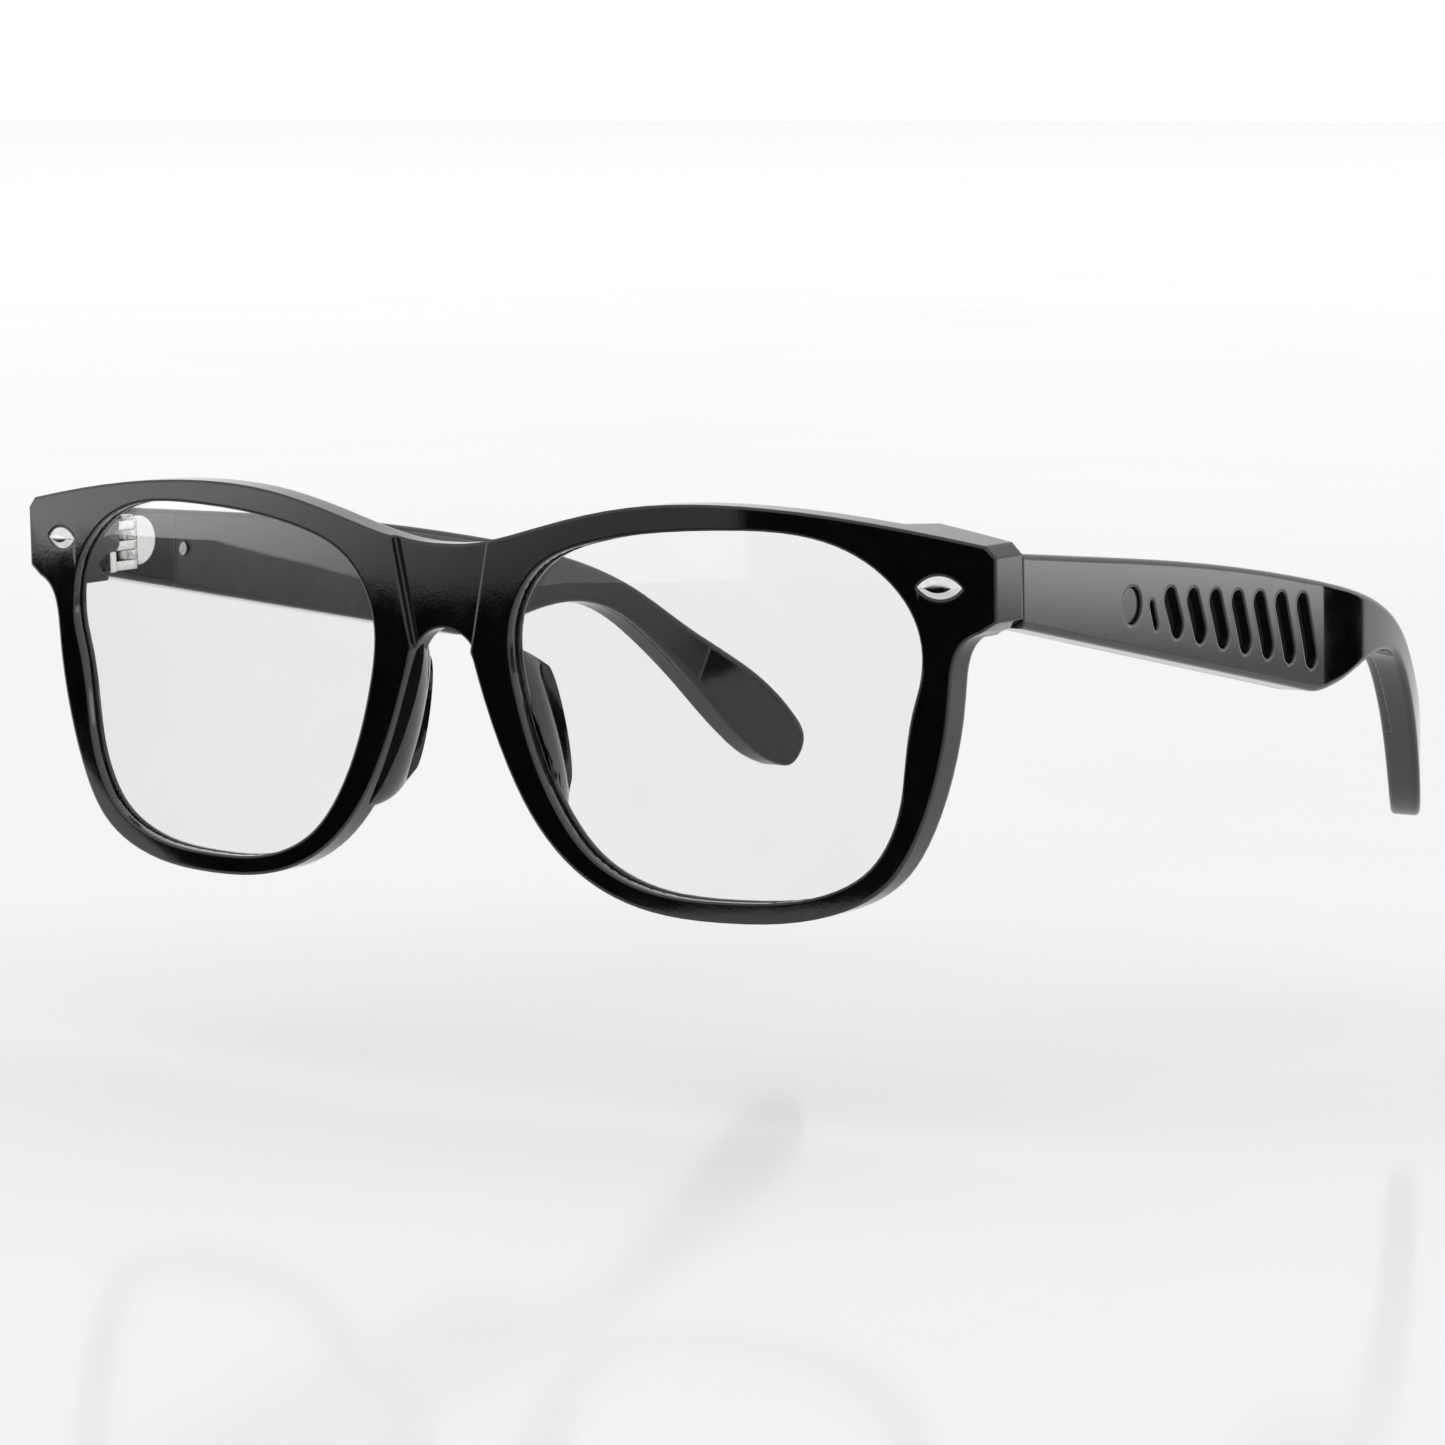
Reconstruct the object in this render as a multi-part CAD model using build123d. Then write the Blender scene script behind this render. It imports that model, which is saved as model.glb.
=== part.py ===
from build123d import *
import math
import os

os.makedirs("parts", exist_ok=True)

# Smart glasses, in millimetres. They are modelled with X across the face, +Z up, Y running back from the
# middle of the front, and z = 0 half way up the lenses. Left pieces are on +X, the wearer's left, and are
# mirrored to make the right ones. At the end everything is tilted a little and set down on a table.

# Front
FRONT_RADIUS = 318.6          # radius, seen from above, of the wrapped front face
RIM_DEPTH = 3.3               # front to back thickness of the rims and bridge
HALF_WIDTH = 73.5             # from the middle to the outer side of an end piece
END_BACK = 13.8               # Y of the flat back face of an end piece
END_INNER = 60.5              # X where an end piece grows out of the back of the rim
END_FOOT = 8.6                # lowest Z of the thick part of an end piece
BROW_TOP = 23.0               # highest point of the brow
BRIDGE_TOP = 17.1
BRIDGE_FOOT = 7.1
BRIDGE_RECESS = 0.9           # how far the bridge panel lies behind the rims
BRIDGE_HALF_TOP = 7.4         # half width of the bridge panel at the brow
BRIDGE_HALF_FOOT = 4.3        # half width of the bridge panel at its foot

# Lenses
LENS_X = 39.8
LENS_THICKNESS = 1.6
LENS_SETBACK = 1.1            # how far the lens lies behind the front face
GROOVE_DEPTH = 0.7            # how far the lens edge goes into the rim

# Nose pads: an oval root let into the rim, and a smaller oval back edge
PAD_ROOT = (9.9, 2.2, -4.6)   # centre of the root
PAD_MIDDLE = (10.5, 6.4, -5.0)
PAD_TIP = (10.7, 9.2, -4.6)
PAD_ROOT_SIZE = (2.7, 12.0)   # half width and half length of each oval
PAD_MIDDLE_SIZE = (2.1, 10.0)
PAD_TIP_SIZE = (1.2, 7.2)
PAD_ROOT_SLANT = 25.0         # lean of each oval, with its foot outwards
PAD_MIDDLE_SLANT = 18.0
PAD_TIP_SLANT = 12.0

# Almond trims on the end pieces
TRIM_X = 66.8
TRIM_Z = 14.4
TRIM_LENGTH = 5.6
TRIM_HEIGHT = 2.7
TRIM_INSET = 0.8
TRIM_DOME = 0.5
TRIM_TAPER = 55

# Hinges
HINGE_X = 65.5
HINGE_Y = 18.0
HINGE_Z = 9.7                 # foot of the lowest knuckle
KNUCKLES = 5
KNUCKLE_HEIGHT = 1.2
KNUCKLE_GAP = 0.06
KNUCKLE_RADIUS = 1.7
PIN_RADIUS = 0.70
PIN_BORE = 0.75
PIN_HEAD_RADIUS = 1.25
PIN_HEAD_HEIGHT = 0.5
LEAF_THICKNESS = 1.1
LEAF_INNER = 62.9             # X of the inner edge of the leaf on the front
PLATE_START = 18.6
PLATE_STRAIGHT = 22.6         # Y where the round end of the temple leaf begins
PLATE_OUTER = 68.9
PLATE_INNER = 67.2

# Temples, seen from above
TEMPLE_FRONT = 14.1           # Y of the front end
TEMPLE_START_X = 73.4
BEND_X = 69.6                 # outer side where it stops being straight
BEND_Y = 85.0
TIP_X = 49.2                  # outer side, just beyond the tip
TIP_Y = 141.8
FRONT_THICKNESS = 5.0
BODY_THICKNESS = 5.5
TIP_THICKNESS = 3.4
TIP_FOOT_SLOPE = (-0.93, 0.37)
TIP_EDGES_START = 130.0        # edges beyond this Y are rounded, with the long edges they run into
TEMPLE_ROUNDING = 0.7
COVER_THICKNESS = 1.2
COVER_FRONT = 29.6            # Y of the front edge of the inner cover
COVER_END_TOP = (125.4, -9.8)   # Y and Z of the ends of the cover's slanting rear edge
COVER_END_FOOT = (122.6, -16.9)

# Inside a temple; depths are measured inwards from the outer side
WALL = 1.3
CAVITY_START = 33.5
CAVITY_END = 84.0
MESH_THICKNESS = 0.3
CELL_DEPTH = 1.8
CELL_THICKNESS = 1.9
BOARD_DEPTH = 3.0
BOARD_THICKNESS = 0.7

# Louvre slots in the outer wall, from the front one to the rear one, as Y and Z
SLOTS = 7
SLOT_WIDTH = 3.0
SLOT_TOP_FIRST = (46.8, 10.8)
SLOT_TOP_LAST = (79.2, 7.0)
SLOT_FOOT_FIRST = (49.5, 4.8)
SLOT_FOOT_LAST = (82.2, -2.4)
PORT_TOP = (42.8, 9.8)
PORT_FOOT = (44.1, 6.2)
PORT_WIDTH = 1.1

# Button
BUTTON_Y = 38.4
BUTTON_Z = 9.6
BUTTON_RADIUS = 2.1
BUTTON_GAP = 0.12
BUTTON_RECESS = 0.35
BUTTON_FLANGE = 2.7
BUTTON_TRAVEL = 0.25
STEM_RADIUS = 0.8

# Fastenings and contacts in the inner cover
SCREW_SPOTS = ((31.6, 10.9), (86.3, 1.5))
SCREW_HEAD_RADIUS = 0.95
SCREW_RADIUS = 0.5
SCREW_HEAD_HEIGHT = 0.5
CONTACT_SPOTS = ((72.0, 3.0), (77.0, 2.0))
CONTACT_RADIUS = 1.1
CONTACT_HEIGHT = 0.7
CONTACT_PROUD = 0.1

# Set down on a table
REST_TILT = 1.41


def upright(face, near=-6.0, far=24.0):
    """Run a face drawn in X and Z from Y = near to Y = far."""
    return Pos(0, near, 0) * extrude(Plane.XZ * face, amount=near - far)


def wrap_arc(depth, start=-76.0, end=76.0):
    """The arc, seen from above, that lies the given depth behind the front face."""
    radius = FRONT_RADIUS - depth
    middle = (start + end) / 2
    points = [(x, FRONT_RADIUS - math.sqrt(radius ** 2 - x ** 2)) for x in (start, middle, end)]
    return ThreePointArc(*points)


def wrapped_slab(outer_depth, inner_depth):
    """The curved slab between two depths behind the front face."""
    outer = wrap_arc(outer_depth)
    inner = wrap_arc(inner_depth)
    plan = make_face([outer, inner, Line(outer @ 0, inner @ 0), Line(outer @ 1, inner @ 1)])
    return Pos(0, 0, -35) * extrude(plan, amount=70)


def front_outline():
    """The left half of the front, seen from the front."""
    brow = Spline(
        [
            (0, BRIDGE_TOP),
            (7.4, 17.8),
            (16.1, 20.0),
            (27.0, 22.3),
            (38.9, BROW_TOP),
            (62.4, 20.9),
            (72.2, 19.2),
        ]
    )
    end = Polyline((72.2, 19.2), (HALF_WIDTH, 17.9), (HALF_WIDTH, 10.6), (71.6, 9.4))
    rim = Spline(
        [
            (71.6, 9.4),
            (69.1, 7.7),
            (67.8, 2.0),
            (66.2, -7.1),
            (63.8, -13.9),
            (59.8, -19.9),
            (53.4, -23.4),
            (LENS_X, -25.2),
            (26.1, -23.7),
            (19.3, -20.5),
            (13.6, -15.1),
            (9.4, -8.1),
            (6.1, 0),
            (5.0, 3.4),
        ]
    )
    arch = TangentArc([(0, BRIDGE_FOOT), (5.0, 3.4)], tangent=(1, 0))
    middle = Line((0, BRIDGE_FOOT), (0, BRIDGE_TOP))
    return make_face([brow] + list(end.edges()) + [rim, arch, middle])


def lens_outline(growth=0.0):
    """The opening in the left rim, seen from the front, grown outwards from the middle of the lens."""
    points = [
        (63.9, 2.0),
        (62.4, 13.0),
        (57.3, 17.4),
        (LENS_X, 20.1),
        (21.8, 18.0),
        (14.3, 14.7),
        (10.4, 7.9),
        (11.1, 0),
        (16.6, -13.4),
        (21.2, -18.6),
        (27.3, -21.6),
        (LENS_X, -22.8),
        (52.1, -21.2),
        (57.8, -18.0),
        (61.2, -12.3),
    ]
    middle = Vector(LENS_X, 0)
    spokes = [Vector(*point) - middle for point in points]
    grown = [middle + spoke + spoke.normalized() * growth for spoke in spokes]
    return make_face([Spline(grown, periodic=True)])


def trim():
    """A pointed oval, the overlap of two discs, let into the front face and domed."""
    radius = ((TRIM_LENGTH / 2) ** 2 + (TRIM_HEIGHT / 2) ** 2) / TRIM_HEIGHT
    shift = radius - TRIM_HEIGHT / 2
    outline = (Pos(0, -shift) * Circle(radius)) & (Pos(0, shift) * Circle(radius))
    angle = math.asin(TRIM_X / FRONT_RADIUS)
    plane = Plane(
        origin=(TRIM_X, FRONT_RADIUS * (1 - math.cos(angle)), TRIM_Z),
        x_dir=(math.cos(angle), math.sin(angle), 0),
        z_dir=(math.sin(angle), -math.cos(angle), 0),
    )
    shank = extrude(plane * outline, amount=-TRIM_INSET)
    dome = extrude(plane * outline, amount=TRIM_DOME, taper=TRIM_TAPER)
    return shank + dome


def front_half():
    """The left half of the front, still without the pockets of its fittings."""
    body = upright(front_outline())
    rim = body & wrapped_slab(0, RIM_DEPTH)
    end_plan = Polyline(
        (END_INNER, 8.9),
        (LEAF_INNER - 0.6, END_BACK),
        (80, END_BACK),
        (80, 0),
        (END_INNER, 0),
        close=True,
    )
    end_block = Pos(0, 0, END_FOOT) * extrude(make_face(end_plan), amount=20)
    end_piece = (body & end_block) & wrapped_slab(0, 20)
    panel = Polyline(
        (-1, BRIDGE_TOP + 1),
        (BRIDGE_HALF_TOP, BRIDGE_TOP + 1),
        (BRIDGE_HALF_FOOT, 3.5),
        (-1, 3.5),
        close=True,
    )
    recess = upright(make_face(panel)) - wrapped_slab(BRIDGE_RECESS, 20)
    return (rim + end_piece) - upright(lens_outline()) - recess


def lens():
    slab = wrapped_slab(LENS_SETBACK, LENS_SETBACK + LENS_THICKNESS)
    return upright(lens_outline(GROOVE_DEPTH)) & slab


def nose_pad():
    """An oval root that narrows to a thin back edge, leaning away from the nose."""
    ovals = []
    for centre, size, slant in (
        (PAD_ROOT, PAD_ROOT_SIZE, PAD_ROOT_SLANT),
        (PAD_MIDDLE, PAD_MIDDLE_SIZE, PAD_MIDDLE_SLANT),
        (PAD_TIP, PAD_TIP_SIZE, PAD_TIP_SLANT),
    ):
        lean = math.radians(slant)
        plane = Plane(origin=centre, x_dir=(math.cos(lean), 0, math.sin(lean)), z_dir=(0, -1, 0))
        ovals.append(plane * Ellipse(*size))
    return loft(ovals)


def knuckle(index):
    """One knuckle of the hinge, as a disc on the hinge line."""
    foot = HINGE_Z + index * (KNUCKLE_HEIGHT + KNUCKLE_GAP)
    disc = Cylinder(KNUCKLE_RADIUS, KNUCKLE_HEIGHT, align=(Align.CENTER, Align.CENTER, Align.MIN))
    return Pos(HINGE_X, HINGE_Y, foot) * disc


def arm(index, x_low, x_high, y_low, y_high):
    """The bar that joins one knuckle to its leaf."""
    foot = HINGE_Z + index * (KNUCKLE_HEIGHT + KNUCKLE_GAP)
    bar = Box(x_high - x_low, y_high - y_low, KNUCKLE_HEIGHT, align=(Align.MIN,) * 3)
    return Pos(x_low, y_low, foot) * bar


def hinge_top():
    return HINGE_Z + KNUCKLES * KNUCKLE_HEIGHT + (KNUCKLES - 1) * KNUCKLE_GAP


def pin_hole(radius):
    return Pos(HINGE_X, HINGE_Y, HINGE_Z + 4) * Cylinder(radius, 20)


def front_leaf():
    """The half of the hinge on the front: a leaf let into the end piece and every other knuckle."""
    height = hinge_top() - HINGE_Z
    width = HINGE_X + KNUCKLE_RADIUS - LEAF_INNER
    leaf = Box(width, LEAF_THICKNESS, height, align=(Align.MIN,) * 3)
    result = Pos(LEAF_INNER, END_BACK - LEAF_THICKNESS, HINGE_Z) * leaf
    for index in range(0, KNUCKLES, 2):
        side = KNUCKLE_RADIUS
        bar = arm(index, HINGE_X - side, HINGE_X + side, END_BACK - LEAF_THICKNESS, HINGE_Y)
        result = result + bar + knuckle(index)
    return result - pin_hole(PIN_RADIUS)


def temple_plate():
    """The leaf let into the inner side of a temple, square in front and round behind."""
    foot = HINGE_Z
    top = hinge_top()
    middle = (foot + top) / 2
    radius = (top - foot) / 2
    outline = make_face(
        [
            Line((PLATE_STRAIGHT, foot), (PLATE_START, foot)),
            Line((PLATE_START, foot), (PLATE_START, top)),
            Line((PLATE_START, top), (PLATE_STRAIGHT, top)),
            ThreePointArc((PLATE_STRAIGHT, top), (PLATE_STRAIGHT + radius, middle), (PLATE_STRAIGHT, foot)),
        ]
    )
    return extrude(Plane.YZ.offset(PLATE_INNER) * outline, amount=PLATE_OUTER - PLATE_INNER)


def temple_leaf():
    """The half of the hinge on the temple."""
    result = temple_plate()
    for index in range(1, KNUCKLES, 2):
        side = KNUCKLE_RADIUS
        bar = arm(index, HINGE_X, PLATE_OUTER - 1.0, HINGE_Y - side + 0.7, HINGE_Y + side)
        result = result + bar + knuckle(index)
    return result - pin_hole(PIN_BORE)


def hinge_screw():
    top = hinge_top()
    pin = Cylinder(PIN_RADIUS, top - HINGE_Z, align=(Align.CENTER, Align.CENTER, Align.MIN))
    head = Cylinder(PIN_HEAD_RADIUS, PIN_HEAD_HEIGHT, align=(Align.CENTER, Align.CENTER, Align.MIN))
    slot = Box(3 * PIN_HEAD_RADIUS, 0.35, PIN_HEAD_HEIGHT)
    slotted_head = head - Pos(0, 0, 0.5) * slot
    return Pos(HINGE_X, HINGE_Y, HINGE_Z) * pin + Pos(HINGE_X, HINGE_Y, top) * slotted_head


def outer_direction():
    """Unit vector along the straight part of a temple, seen from above."""
    run = Vector(BEND_X - TEMPLE_START_X, BEND_Y - TEMPLE_FRONT)
    return run.normalized()


def temple_side():
    """The plane of the outer side of the straight part: x runs back, y runs up, z points outwards."""
    along = outer_direction()
    return Plane(
        origin=(TEMPLE_START_X, TEMPLE_FRONT, 0),
        x_dir=(along.X, along.Y, 0),
        z_dir=(along.Y, -along.X, 0),
    )


def side_lines():
    """Outer and inner sides of the left temple, seen from above, each straight and then curved."""
    along = outer_direction()
    inwards = Vector(-along.Y, along.X)
    start = Vector(TEMPLE_START_X, TEMPLE_FRONT)
    bend = Vector(BEND_X, BEND_Y)
    outer_line = Line(start, bend)
    outer_arc = TangentArc([bend, (TIP_X, TIP_Y)], tangent=along)
    tip_along = outer_arc % 1
    tip_inwards = Vector(-tip_along.Y, tip_along.X)
    inner_start = start + Vector(-FRONT_THICKNESS, 0)
    inner_bend = bend + inwards * BODY_THICKNESS
    inner_tip = Vector(TIP_X, TIP_Y) + tip_inwards * TIP_THICKNESS
    inner_line = Line(inner_start, inner_bend)
    inner_arc = TangentArc([inner_bend, inner_tip], tangent=inner_line % 1)
    return outer_line, outer_arc, inner_line, inner_arc


def temple_plan():
    outer_line, outer_arc, inner_line, inner_arc = side_lines()
    front = Line(outer_line @ 0, inner_line @ 0)
    back = Line(outer_arc @ 1, inner_arc @ 1)
    return make_face([outer_line, outer_arc, back, inner_arc, inner_line, front])


def temple_profile():
    """The left temple seen from the side, as Y and Z."""
    top = Spline(
        [
            (TEMPLE_FRONT, 17.9),
            (48.3, 13.9),
            (87.7, 7.4),
            (102.4, 3.7),
            (113.8, -1.4),
            (123.0, -8.2),
            (132.2, -15.2),
            (136.6, -20.4),
        ]
    )
    tip = Spline(
        [(136.6, -20.4), (138.4, -24.6), (137.6, -27.3), (134.9, -28.3)],
        tangents=[top % 1, TIP_FOOT_SLOPE],
    )
    foot = Spline(
        [
            (134.9, -28.3),
            (129.6, -24.2),
            (122.9, -15.8),
            (116.6, -8.9),
            (111.0, -4.6),
            (105.7, -2.9),
            (97.5, -3.3),
            (89.5, -5.0),
            (84.5, -5.5),
            (79.5, -4.7),
        ],
        tangents=[TIP_FOOT_SLOPE, (-0.976, 0.218)],
    )
    under = Line((79.5, -4.7), (TEMPLE_FRONT, 9.4))
    front = Line((TEMPLE_FRONT, 9.4), (TEMPLE_FRONT, 17.9))
    return make_face([top, tip, foot, under, front])


def temple_body():
    plan = Pos(0, 0, -35) * extrude(temple_plan(), amount=60)
    side = Pos(35, 0, 0) * extrude(Plane.YZ * temple_profile(), amount=50)
    body = plan & side
    tip_edges = body.edges().filter_by(lambda edge: edge.center().Y > TIP_EDGES_START)
    return fillet(tip_edges, TEMPLE_ROUNDING)


def cover_zone():
    """The layer on the inner side of the temple that is made as a separate cover."""
    _, _, inner_line, inner_arc = side_lines()
    inwards = Vector(-outer_direction().Y, outer_direction().X)
    tip_along = inner_arc % 1
    shift = inwards * -COVER_THICKNESS
    tip_shift = Vector(tip_along.Y, -tip_along.X) * COVER_THICKNESS
    slope = (inner_line @ 1 - inner_line @ 0).normalized()
    start = inner_line @ 0 + slope * ((COVER_FRONT - TEMPLE_FRONT) / slope.Y)
    bend = inner_line @ 1
    near_line = Line(start + shift, bend + shift)
    near_arc = TangentArc([bend + shift, inner_arc @ 1 + tip_shift], tangent=slope)
    far_tip = inner_arc @ 1 + tip_shift * -3
    far_start = start + shift * -3
    plan = make_face(
        [
            near_line,
            near_arc,
            Line(near_arc @ 1, far_tip),
            Line(far_tip, (far_start.X - 20, far_tip.Y)),
            Line((far_start.X - 20, far_tip.Y), (far_start.X - 20, start.Y + shift.Y)),
            Line((far_start.X - 20, start.Y + shift.Y), start + shift),
        ]
    )
    layer = Pos(0, 0, -35) * extrude(plan, amount=60)
    rise = (COVER_END_TOP[1] - COVER_END_FOOT[1]) / (COVER_END_TOP[0] - COVER_END_FOOT[0])
    high = (COVER_END_TOP[0] + 20, COVER_END_TOP[1] + 20 * rise)
    low = (COVER_END_FOOT[0] - 20, COVER_END_FOOT[1] - 20 * rise)
    side = Polyline((COVER_FRONT - 5, 40), (high[0], 40), high, low, (COVER_FRONT - 5, low[1]), close=True)
    return layer & (Pos(20, 0, 0) * extrude(Plane.YZ * make_face(side), amount=80))


def on_side(point):
    """A (Y, Z) place on the temple as a place on the plane of its outer side."""
    return ((point[0] - TEMPLE_FRONT) / outer_direction().Y, point[1])


def side_block(face, depth, thickness):
    """A face drawn on the temple's outer side, sunk to a depth and given a thickness inwards."""
    return extrude(temple_side().offset(-depth) * face, amount=-thickness)


def side_polygon(points):
    return make_face(Polyline(*[on_side(point) for point in points], close=True))


def cavity_face(inset=0.0):
    """The outline of the hollow in the temple, seen from outside, with its edges moved in."""
    return side_polygon(
        [
            (CAVITY_START + inset, 14.2 - inset),
            (48.3, 12.5 - inset),
            (66.0, 9.8 - inset),
            (CAVITY_END - inset, 7.2 - inset),
            (CAVITY_END - inset, -3.9 + inset),
            (CAVITY_START + inset, 6.8 + inset),
        ]
    )


def slot_face(top, foot, width):
    """A round-ended slot between two places on the temple's outer side."""
    start = Vector(*on_side(top))
    end = Vector(*on_side(foot))
    run = end - start
    middle = (start + end) * 0.5
    angle = math.degrees(math.atan2(run.Y, run.X))
    return Pos(middle.X, middle.Y) * Rot(0, 0, angle) * SlotOverall(run.length, width)


def between(first, last, share):
    return tuple(a + (b - a) * share for a, b in zip(first, last))


def vent_faces():
    faces = [slot_face(PORT_TOP, PORT_FOOT, PORT_WIDTH)]
    for index in range(SLOTS):
        share = index / (SLOTS - 1)
        top = between(SLOT_TOP_FIRST, SLOT_TOP_LAST, share)
        foot = between(SLOT_FOOT_FIRST, SLOT_FOOT_LAST, share)
        faces.append(slot_face(top, foot, SLOT_WIDTH))
    return faces


def side_disc(spot, radius):
    place = on_side(spot)
    return Pos(place[0], place[1]) * Circle(radius)


def thickness_at(y):
    """Thickness of the straight part of the temple at a distance back."""
    share = (y - TEMPLE_FRONT) / (BEND_Y - TEMPLE_FRONT)
    return FRONT_THICKNESS + (BODY_THICKNESS - FRONT_THICKNESS) * share


def temple_shell(body, cover):
    shell = body - cover
    shell = shell - side_block(cavity_face(), WALL, 10)
    for face in vent_faces():
        shell = shell - side_block(face, -1, WALL + 2)
    shell = shell - side_block(side_disc((BUTTON_Y, BUTTON_Z), BUTTON_RADIUS + BUTTON_GAP), -1, WALL + 2)
    for spot in SCREW_SPOTS:
        depth = thickness_at(spot[0]) - COVER_THICKNESS - 1.6
        shell = shell - side_block(side_disc(spot, SCREW_RADIUS), depth, 10)
    return shell - temple_leaf()


def cover_screws():
    """The two screws that hold the inner cover, their heads sunk flush."""
    result = []
    for spot in SCREW_SPOTS:
        inner = thickness_at(spot[0])
        shank_disc = side_disc(spot, SCREW_RADIUS)
        head_disc = side_disc(spot, SCREW_HEAD_RADIUS)
        shank = side_block(shank_disc, inner - COVER_THICKNESS - 1.6, COVER_THICKNESS + 1.3)
        head = side_block(head_disc, inner - 0.3 - SCREW_HEAD_HEIGHT, SCREW_HEAD_HEIGHT)
        result.append(shank + head)
    return result


def inner_cover(cover, screws, contacts):
    for spot in SCREW_SPOTS:
        depth = thickness_at(spot[0]) - 0.3 - SCREW_HEAD_HEIGHT
        cover = cover - side_block(side_disc(spot, SCREW_HEAD_RADIUS), depth, 10)
    for piece in screws + contacts:
        cover = cover - piece
    return cover


def charging_contacts():
    """Two round contacts let into the inner cover, a little proud of it."""
    result = []
    for spot in CONTACT_SPOTS:
        depth = thickness_at(spot[0]) + CONTACT_PROUD - CONTACT_HEIGHT
        result.append(side_block(side_disc(spot, CONTACT_RADIUS), depth, CONTACT_HEIGHT))
    return result


def vent_mesh():
    return side_block(cavity_face(0.3), WALL, MESH_THICKNESS) & side_block(
        side_polygon([(41.9, 20), (CAVITY_END - 0.3, 20), (CAVITY_END - 0.3, -10), (41.9, -10)]), 0, 10
    )


def speaker():
    block = side_polygon([(65.0, 8.2), (81.6, 5.6), (81.6, -2.1), (65.0, 1.4)])
    return side_block(block, CELL_DEPTH, CELL_THICKNESS)


def battery():
    block = side_polygon([(47.5, 10.9), (63.6, 8.5), (63.6, 1.9), (47.5, 5.3)])
    return side_block(block, CELL_DEPTH, CELL_THICKNESS)


def circuit_board():
    block = side_polygon([(34.2, 13.1), (46.3, 11.4), (46.3, 5.4), (34.2, 7.9)])
    return side_block(block, BOARD_DEPTH, BOARD_THICKNESS)


def microphone():
    block = side_polygon([(42.2, 9.9), (45.2, 9.9), (45.2, 7.0), (42.2, 7.0)])
    return side_block(block, BOARD_DEPTH - 1.1, 1.1)


def button_switch():
    block = side_polygon(
        [
            (BUTTON_Y - 1.6, BUTTON_Z + 1.6),
            (BUTTON_Y + 1.6, BUTTON_Z + 1.6),
            (BUTTON_Y + 1.6, BUTTON_Z - 1.6),
            (BUTTON_Y - 1.6, BUTTON_Z - 1.6),
        ]
    )
    return side_block(block, BOARD_DEPTH - 0.5, 0.5)


def button():
    """A dished disc with a flange behind the wall and a stem towards the switch."""
    spot = (BUTTON_Y, BUTTON_Z)
    flange_depth = WALL + 0.05
    disc = side_block(side_disc(spot, BUTTON_RADIUS), BUTTON_RECESS, flange_depth - BUTTON_RECESS)
    flange = side_block(side_disc(spot, BUTTON_FLANGE), flange_depth, 0.3)
    stem_end = BOARD_DEPTH - 0.5 - BUTTON_TRAVEL - 0.1
    stem = side_block(side_disc(spot, STEM_RADIUS), flange_depth + 0.3, stem_end - flange_depth - 0.3)
    return disc + flange + stem


def left_pieces():
    """Every left piece but the front itself, by name."""
    body = temple_body()
    cover = body & cover_zone()
    screws = cover_screws()
    contacts = charging_contacts()
    return {
        "lens": [lens()],
        "nose_pad": [nose_pad()],
        "trim": [trim()],
        "hinge_front": [front_leaf()],
        "hinge_temple": [temple_leaf()],
        "hinge_screw": [hinge_screw()],
        "temple_shell": [temple_shell(body, cover)],
        "inner_cover": [inner_cover(cover, screws, contacts)],
        "cover_screws": screws,
        "charging_contacts": contacts,
        "vent_mesh": [vent_mesh()],
        "speaker": [speaker()],
        "battery": [battery()],
        "circuit_board": [circuit_board()],
        "microphone": [microphone()],
        "button_switch": [button_switch()],
        "button": [button()],
    }


def main():
    left = left_pieces()
    half = front_half()
    left["nose_pad"] = [left["nose_pad"][0] - half - left["lens"][0]]
    for name in ("lens", "trim", "hinge_front"):
        half = half - left[name][0]
    nodes = {"front_frame": [half + half.mirror(Plane.YZ)]}
    for name, pieces in left.items():
        nodes[name + "_left"] = pieces
        nodes[name + "_right"] = [piece.mirror(Plane.YZ) for piece in pieces]

    tilt = Rot(REST_TILT, 0, 0)
    tilted = {name: [tilt * piece for piece in pieces] for name, pieces in nodes.items()}
    boxes = [piece.bounding_box() for pieces in tilted.values() for piece in pieces]
    back = (min(box.min.Y for box in boxes) + max(box.max.Y for box in boxes)) / 2
    floor = min(box.min.Z for box in boxes)
    for name, pieces in tilted.items():
        placed = [Pos(0, -back, -floor) * piece for piece in pieces]
        result = placed[0] if len(placed) == 1 else Compound(children=placed)
        result.label = name
        export_step(result, f"parts/{name}.step")
    print("moved by", round(-back, 4), round(-floor, 4))


main()
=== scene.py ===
import bpy
import math
from mathutils import Matrix, Vector


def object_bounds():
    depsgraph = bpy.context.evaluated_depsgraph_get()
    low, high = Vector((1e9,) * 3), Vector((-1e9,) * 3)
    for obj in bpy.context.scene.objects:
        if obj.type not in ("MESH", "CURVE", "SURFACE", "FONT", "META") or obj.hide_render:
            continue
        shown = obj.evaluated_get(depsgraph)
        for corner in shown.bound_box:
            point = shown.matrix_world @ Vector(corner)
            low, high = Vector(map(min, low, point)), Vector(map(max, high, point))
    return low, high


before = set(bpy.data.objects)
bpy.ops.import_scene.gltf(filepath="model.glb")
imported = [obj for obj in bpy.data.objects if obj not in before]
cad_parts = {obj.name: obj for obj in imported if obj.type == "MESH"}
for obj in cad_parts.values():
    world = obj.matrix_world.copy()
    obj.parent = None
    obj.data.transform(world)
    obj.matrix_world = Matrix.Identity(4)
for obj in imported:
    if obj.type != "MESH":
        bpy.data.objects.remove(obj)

CAD_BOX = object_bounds()
MM = 0.001

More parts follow.
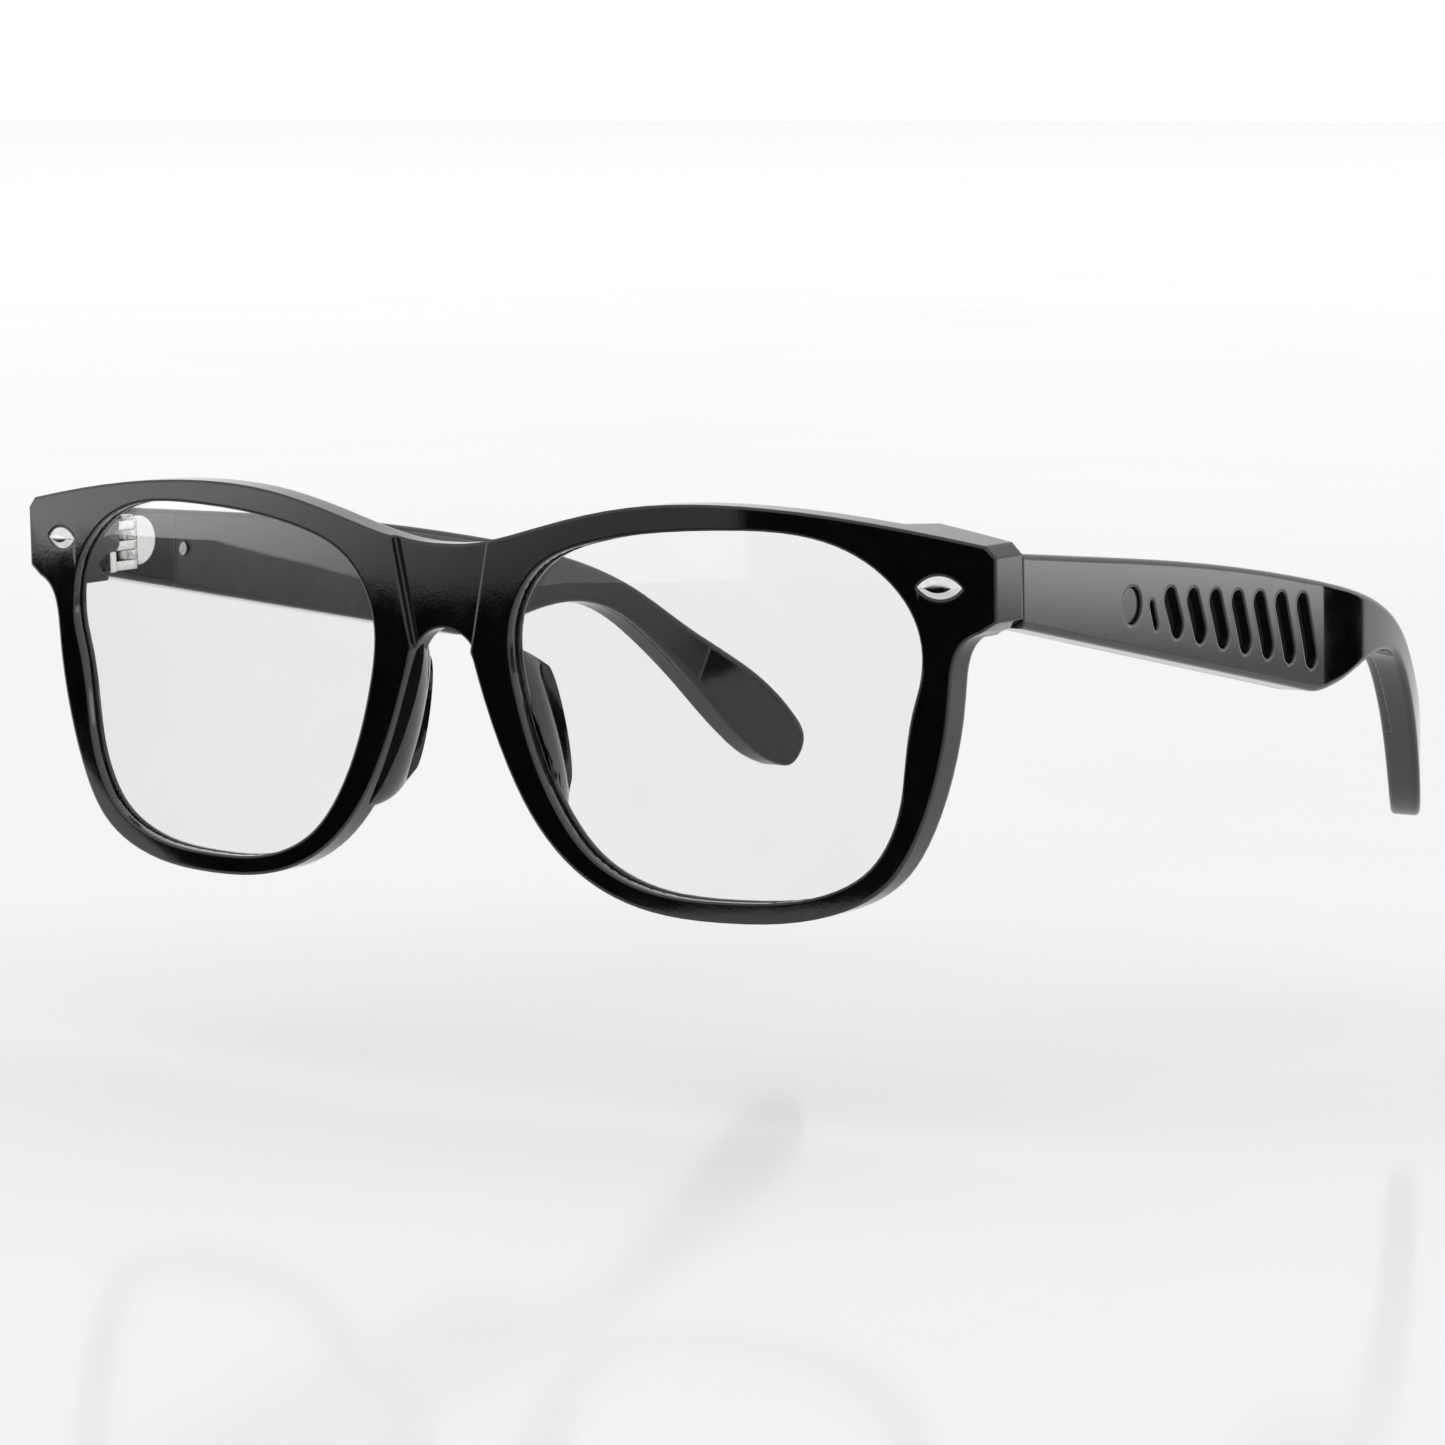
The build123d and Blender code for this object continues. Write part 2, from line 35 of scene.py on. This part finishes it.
# ---------------------------------------------------------------- camera
# The camera is placed around the upright front, then tilted and moved with it to the resting frame.
REST_TILT = math.radians(1.41)
REST_SHIFT = Vector((0.0, -69.3058, 25.1526)) * MM
AZIMUTH = math.radians(36.965)
ELEVATION = math.radians(7.896)
ROLL = math.radians(-1.118)
DISTANCE = 690.2 * MM
TARGET = Vector((41.22, 0.0, -9.52)) * MM
SENSOR = 36.0
LENS = 150.7715
SHIFT_UP = 0.0481
CLIP_START = 0.01
CLIP_END = 50.0


def link(obj):
    bpy.context.scene.collection.objects.link(obj)
    return obj


def make_camera():
    back = Vector((
        math.sin(AZIMUTH) * math.cos(ELEVATION),
        -math.cos(AZIMUTH) * math.cos(ELEVATION),
        math.sin(ELEVATION),
    ))
    level_right = (-back).cross(Vector((0, 0, 1))).normalized()
    level_up = level_right.cross(-back).normalized()
    right = math.cos(ROLL) * level_right + math.sin(ROLL) * level_up
    up = math.cos(ROLL) * level_up - math.sin(ROLL) * level_right
    turn = Matrix((right, up, back)).transposed().to_4x4()
    place = Matrix.Translation(TARGET + back * DISTANCE)
    data = bpy.data.cameras.new("camera")
    data.sensor_width = SENSOR
    data.lens = LENS
    data.shift_y = SHIFT_UP
    data.clip_start = CLIP_START
    data.clip_end = CLIP_END
    camera = link(bpy.data.objects.new("camera", data))
    tilt = Matrix.Rotation(REST_TILT, 4, "X")
    camera.matrix_world = Matrix.Translation(REST_SHIFT) @ tilt @ place @ turn
    bpy.context.scene.camera = camera
    return camera


# ---------------------------------------------------------------- materials
NOISE_LOW = 0.3
NOISE_HIGH = 0.7
SLOW_DETAIL = 6.0
SLOW_ROUGHNESS = 0.62
FINE_DETAIL = 3.0
FINE_SCALE = 9.0               # how much finer the bump's noise is than the colour's
BUMP_DEPTH = 0.05 * MM
EDGE_SAMPLES = 8


def new_material(name):
    mat = bpy.data.materials.new(name)
    mat.use_nodes = True
    return mat, mat.node_tree.nodes, mat.node_tree.links, mat.node_tree.nodes["Principled BSDF"]


def colour_ramp(nodes, dark, light):
    ramp = nodes.new("ShaderNodeValToRGB")
    first, last = ramp.color_ramp.elements
    first.position = NOISE_LOW
    last.position = NOISE_HIGH
    first.color = (*dark, 1)
    last.color = (*light, 1)
    return ramp


def map_range(nodes, start, end):
    """Maps one (input, output) pair to another."""
    span = nodes.new("ShaderNodeMapRange")
    span.inputs["From Min"].default_value = start[0]
    span.inputs["From Max"].default_value = end[0]
    span.inputs["To Min"].default_value = start[1]
    span.inputs["To Max"].default_value = end[1]
    return span


def surface(name, dark, light, rough, scale, bump, ior=1.5, metal=0.0, transmission=0.0,
            round_edge=0.0, stretch=(1, 1, 1)):
    """A procedural finish: colour and roughness follow one slow noise, the bump a fine one."""
    mat, nodes, links, bsdf = new_material(name)
    coords = nodes.new("ShaderNodeTexCoord")
    mapping = nodes.new("ShaderNodeMapping")
    mapping.inputs["Scale"].default_value = stretch
    links.new(coords.outputs["Object"], mapping.inputs["Vector"])
    slow = nodes.new("ShaderNodeTexNoise")
    slow.inputs["Scale"].default_value = scale
    slow.inputs["Detail"].default_value = SLOW_DETAIL
    slow.inputs["Roughness"].default_value = SLOW_ROUGHNESS
    links.new(mapping.outputs["Vector"], slow.inputs["Vector"])
    ramp = colour_ramp(nodes, dark, light)
    links.new(slow.outputs["Fac"], ramp.inputs["Fac"])
    links.new(ramp.outputs["Color"], bsdf.inputs["Base Color"])
    span = map_range(nodes, (NOISE_LOW, rough[0]), (NOISE_HIGH, rough[1]))
    links.new(slow.outputs["Fac"], span.inputs["Value"])
    links.new(span.outputs["Result"], bsdf.inputs["Roughness"])
    fine = nodes.new("ShaderNodeTexNoise")
    fine.inputs["Scale"].default_value = scale * FINE_SCALE
    fine.inputs["Detail"].default_value = FINE_DETAIL
    links.new(mapping.outputs["Vector"], fine.inputs["Vector"])
    rise = nodes.new("ShaderNodeBump")
    rise.inputs["Strength"].default_value = bump
    rise.inputs["Distance"].default_value = BUMP_DEPTH
    links.new(fine.outputs["Fac"], rise.inputs["Height"])
    if round_edge:
        edge = nodes.new("ShaderNodeBevel")
        edge.samples = EDGE_SAMPLES
        edge.inputs["Radius"].default_value = round_edge * MM
        links.new(edge.outputs["Normal"], rise.inputs["Normal"])
    links.new(rise.outputs["Normal"], bsdf.inputs["Normal"])
    bsdf.inputs["IOR"].default_value = ior
    bsdf.inputs["Metallic"].default_value = metal
    bsdf.inputs["Coat Roughness"].default_value = 0.03
    bsdf.inputs["Transmission Weight"].default_value = transmission
    return mat


def grey(level, blue=0.0):
    return (level, level, level + blue)


def plastics():
    """The gloss black mouldings and the clear lenses, by the start of the node's name."""
    black = (0.0016, 0.0017, 0.0019)
    worn = (0.0032, 0.0033, 0.0036)
    return {
        "front_frame": surface("acetate_front", black, worn, (0.035, 0.07), 260, 0.03,
                               ior=1.62, round_edge=0.5),
        "temple_shell": surface("acetate_temple", black, worn, (0.05, 0.09), 240, 0.03,
                                ior=1.62, round_edge=0.5),
        "inner_cover": surface("cover_gloss", grey(0.004, 0.0005), grey(0.007, 0.0005), (0.12, 0.18),
                               420, 0.05, ior=1.6, round_edge=0.3),
        "nose_pad": surface("pad_gloss", black, worn, (0.04, 0.08), 500, 0.03, ior=1.6),
        "button": surface("button_gloss", grey(0.006, 0.001), grey(0.012, 0.001), (0.12, 0.2),
                          900, 0.08, ior=1.55, round_edge=0.2),
        "lens": surface("lens_clear", (0.97, 0.98, 0.98), grey(0.995), (0.0, 0.012), 90, 0.0,
                        transmission=1.0),
        "vent_mesh": surface("mesh_dark", grey(0.004), grey(0.02), (0.35, 0.5), 2600, 0.4, ior=1.45),
        "circuit_board": surface("board_green", (0.01, 0.07, 0.03), (0.02, 0.12, 0.05), (0.3, 0.45),
                                 600, 0.2),
    }


def metals():
    """The metal pieces, by the start of the node's name."""
    return {
        "trim": surface("trim_polished", grey(0.66, -0.01), grey(0.80, -0.01), (0.06, 0.14), 900,
                        0.08, metal=1.0, round_edge=0.15),
        "hinge": surface("hinge_metal", grey(0.56, -0.02), grey(0.72, -0.02), (0.16, 0.28), 700,
                         0.15, metal=1.0, round_edge=0.2, stretch=(1, 1, 5)),
        "hinge_screw": surface("screw_metal", grey(0.62, -0.01), grey(0.78, -0.01), (0.2, 0.32),
                               1200, 0.2, metal=1.0, round_edge=0.15),
        "cover_screws": surface("screw_dark", grey(0.30, 0.01), grey(0.42, 0.01), (0.22, 0.34),
                                1200, 0.2, metal=1.0, round_edge=0.1),
        "charging_contacts": surface("contact_gold", (0.72, 0.50, 0.18), (0.85, 0.62, 0.26),
                                     (0.16, 0.26), 1200, 0.1, metal=1.0, round_edge=0.1),
        "speaker": surface("speaker_metal", grey(0.35, -0.01), grey(0.5, -0.01), (0.3, 0.4), 800,
                           0.15, metal=1.0),
        "battery": surface("battery_foil", grey(0.5), grey(0.66), (0.28, 0.42), 350, 0.4, metal=1.0),
        "microphone": surface("microphone_metal", (0.6, 0.55, 0.4), (0.72, 0.68, 0.52), (0.25, 0.35),
                              1000, 0.1, metal=1.0),
        "button_switch": surface("switch_metal", grey(0.55, -0.01), grey(0.7, -0.01), (0.25, 0.35),
                                 1000, 0.1, metal=1.0),
    }


def longest_start(name, starts):
    """The longest of the starts that the name has, or None."""
    return max((start for start in starts if name.startswith(start)), key=len, default=None)


# ---------------------------------------------------------------- edges
# Width in millimetres of the rounding on the edges of each kind of piece; 0 leaves them as they are.
ROUNDING = {
    "front_frame": 0.45,
    "nose_pad": 0.3,
    "button": 0.12,
    "button_switch": 0.0,
    "hinge": 0.12,
    "hinge_screw": 0.0,
    "trim": 0.08,
}
ROUNDING_STEPS = 3
WELD_DISTANCE = 0.002 * MM
EDGE_ANGLE = math.radians(28)
FACE_WEIGHT = 90


def round_edges(obj, width):
    weld = obj.modifiers.new("weld", "WELD")
    weld.merge_threshold = WELD_DISTANCE
    bevel = obj.modifiers.new("rounding", "BEVEL")
    bevel.width = width * MM
    bevel.segments = ROUNDING_STEPS
    bevel.limit_method = "ANGLE"
    bevel.angle_limit = EDGE_ANGLE
    bevel.harden_normals = False
    bevel.use_clamp_overlap = True
    even = obj.modifiers.new("even_normals", "WEIGHTED_NORMAL")
    even.mode = "FACE_AREA"
    even.weight = FACE_WEIGHT


def finish_nodes():
    finishes = plastics() | metals()
    for name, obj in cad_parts.items():
        obj.data.materials.clear()
        obj.data.materials.append(finishes[longest_start(name, finishes)])
        width = ROUNDING.get(longest_start(name, ROUNDING), 0.0)
        if width:
            round_edges(obj, width)


# ---------------------------------------------------------------- stage
FLOOR_Z = -24 * MM
FLOOR_HALF = 12.0
MAT_LIFT = 0.5 * MM
PATCH_LIFT = 0.2 * MM
FRONT_RADIUS = 318.6 * MM      # radius, seen from above, of the wrapped front face
FRONT_Y = CAD_BOX[0][1]

# The mat's edge follows the sight lines that the front turns away: X on the front, and how far on.
MAT_REACHES = ((0.042, 0.928), (0.042, 0.50), (0.018, 0.497), (-0.002, 0.48), (-0.023, 0.54),
               (-0.039, 0.592), (-0.058, 0.615))
MAT_NEAR_CORNERS = ((0.02, -0.21), (0.045, -0.28), (0.06, -0.45), (0.06, -0.95))
MAT_FAR_CORNERS = ((-0.62, -0.22), (-0.15, -0.14))
PATCH_CORNERS = ((-0.10, -0.50), (-0.28, -1.0), (-1.0, -0.85), (-1.0, -0.28), (-0.55, -0.28))
PATCH_GLOW = ((-0.30, 0.5), (-0.60, 1.7))        # X and strength
TEMPLE_CARD_Y = 0.31
TEMPLE_CARD_TOP = 0.06
TEMPLE_CARD_ENDS = (0.130, 0.203, 0.45)          # X of the dark end, the change and the bright end
TEMPLE_GLOW = ((-0.006, 0.6), (0.010, 2.6))      # Z and strength
WORLD_COLOUR = (0.985, 0.987, 0.99, 1)
WORLD_STRENGTH = 1.03


def card(name, corners):
    """A flat black stage piece that only gives off what its glow says."""
    mesh = bpy.data.meshes.new(name)
    mesh.from_pydata([Vector(corner) for corner in corners], [], [tuple(range(len(corners)))])
    obj = link(bpy.data.objects.new(name, mesh))
    mat, _, _, bsdf = new_material(name + "_mat")
    bsdf.inputs["Base Color"].default_value = (0, 0, 0, 1)
    bsdf.inputs["Roughness"].default_value = 1.0
    bsdf.inputs["Specular IOR Level"].default_value = 0.0
    bsdf.inputs["Emission Color"].default_value = (1, 1, 1, 1)
    bsdf.inputs["Emission Strength"].default_value = 0.0
    obj.data.materials.append(mat)
    return obj


def floor_card(name, outline, lift):
    return card(name, [(x, y, FLOOR_Z + lift) for x, y in outline])


def upright_card(name, start_x, end_x):
    y, top = TEMPLE_CARD_Y, TEMPLE_CARD_TOP
    return card(name, [(start_x, y, FLOOR_Z), (end_x, y, FLOOR_Z), (end_x, y, top), (start_x, y, top)])


def ramp_glow(obj, axis, start, end):
    """Makes a card's glow change along one axis, from a (place, strength) pair to another."""
    tree = obj.data.materials[0].node_tree
    coords = tree.nodes.new("ShaderNodeTexCoord")
    split = tree.nodes.new("ShaderNodeSeparateXYZ")
    span = map_range(tree.nodes, start, end)
    tree.links.new(coords.outputs["Object"], split.inputs["Vector"])
    tree.links.new(split.outputs[axis], span.inputs["Value"])
    tree.links.new(span.outputs["Result"], tree.nodes["Principled BSDF"].inputs["Emission Strength"])


def reflected_spot(camera, x, reach):
    """Seen from above, where the sight line that meets the front at x is, reach metres after it."""
    y = FRONT_Y + FRONT_RADIUS - math.sqrt(FRONT_RADIUS ** 2 - x ** 2)
    eye = camera.matrix_world.translation
    facing = math.asin(x / FRONT_RADIUS)
    away = 2 * facing - math.atan2(eye.x - x, y - eye.y)
    return x + reach * math.sin(away), y - reach * math.cos(away)


def make_floor():
    turns = ((-1, -1), (1, -1), (1, 1), (-1, 1))
    corners = [(x * FLOOR_HALF, y * FLOOR_HALF, FLOOR_Z) for x, y in turns]
    mesh = bpy.data.meshes.new("floor")
    mesh.from_pydata(corners, [], [(0, 1, 2, 3)])
    obj = link(bpy.data.objects.new("floor", mesh))
    obj.data.materials.append(surface("floor_pale", grey(0.86, 0.005), grey(0.89, 0.005), (0.07, 0.1),
                                      3.0, 0.0, ior=1.05))


def make_world():
    world = bpy.data.worlds.new("studio")
    bpy.context.scene.world = world
    world.use_nodes = True
    background = world.node_tree.nodes["Background"]
    background.inputs["Color"].default_value = WORLD_COLOUR
    background.inputs["Strength"].default_value = WORLD_STRENGTH


def make_cards(camera):
    """Dark and bright cards for the gloss to reflect. The mat and the dark card show in a front view."""
    edge = tuple(reflected_spot(camera, x, reach) for x, reach in MAT_REACHES)
    floor_card("mat_dark", MAT_NEAR_CORNERS + edge + MAT_FAR_CORNERS, MAT_LIFT)
    patch = floor_card("patch_brow", PATCH_CORNERS, PATCH_LIFT)
    ramp_glow(patch, "X", *PATCH_GLOW)
    dark_end, change, bright_end = TEMPLE_CARD_ENDS
    bright = upright_card("card_temple", change, bright_end)
    ramp_glow(bright, "Z", *TEMPLE_GLOW)
    upright_card("card_temple_dark", dark_end, change)


bpy.context.scene.view_settings.view_transform = "Standard"
finish_nodes()
camera = make_camera()
bpy.context.view_layer.update()
make_world()
make_floor()
make_cards(camera)
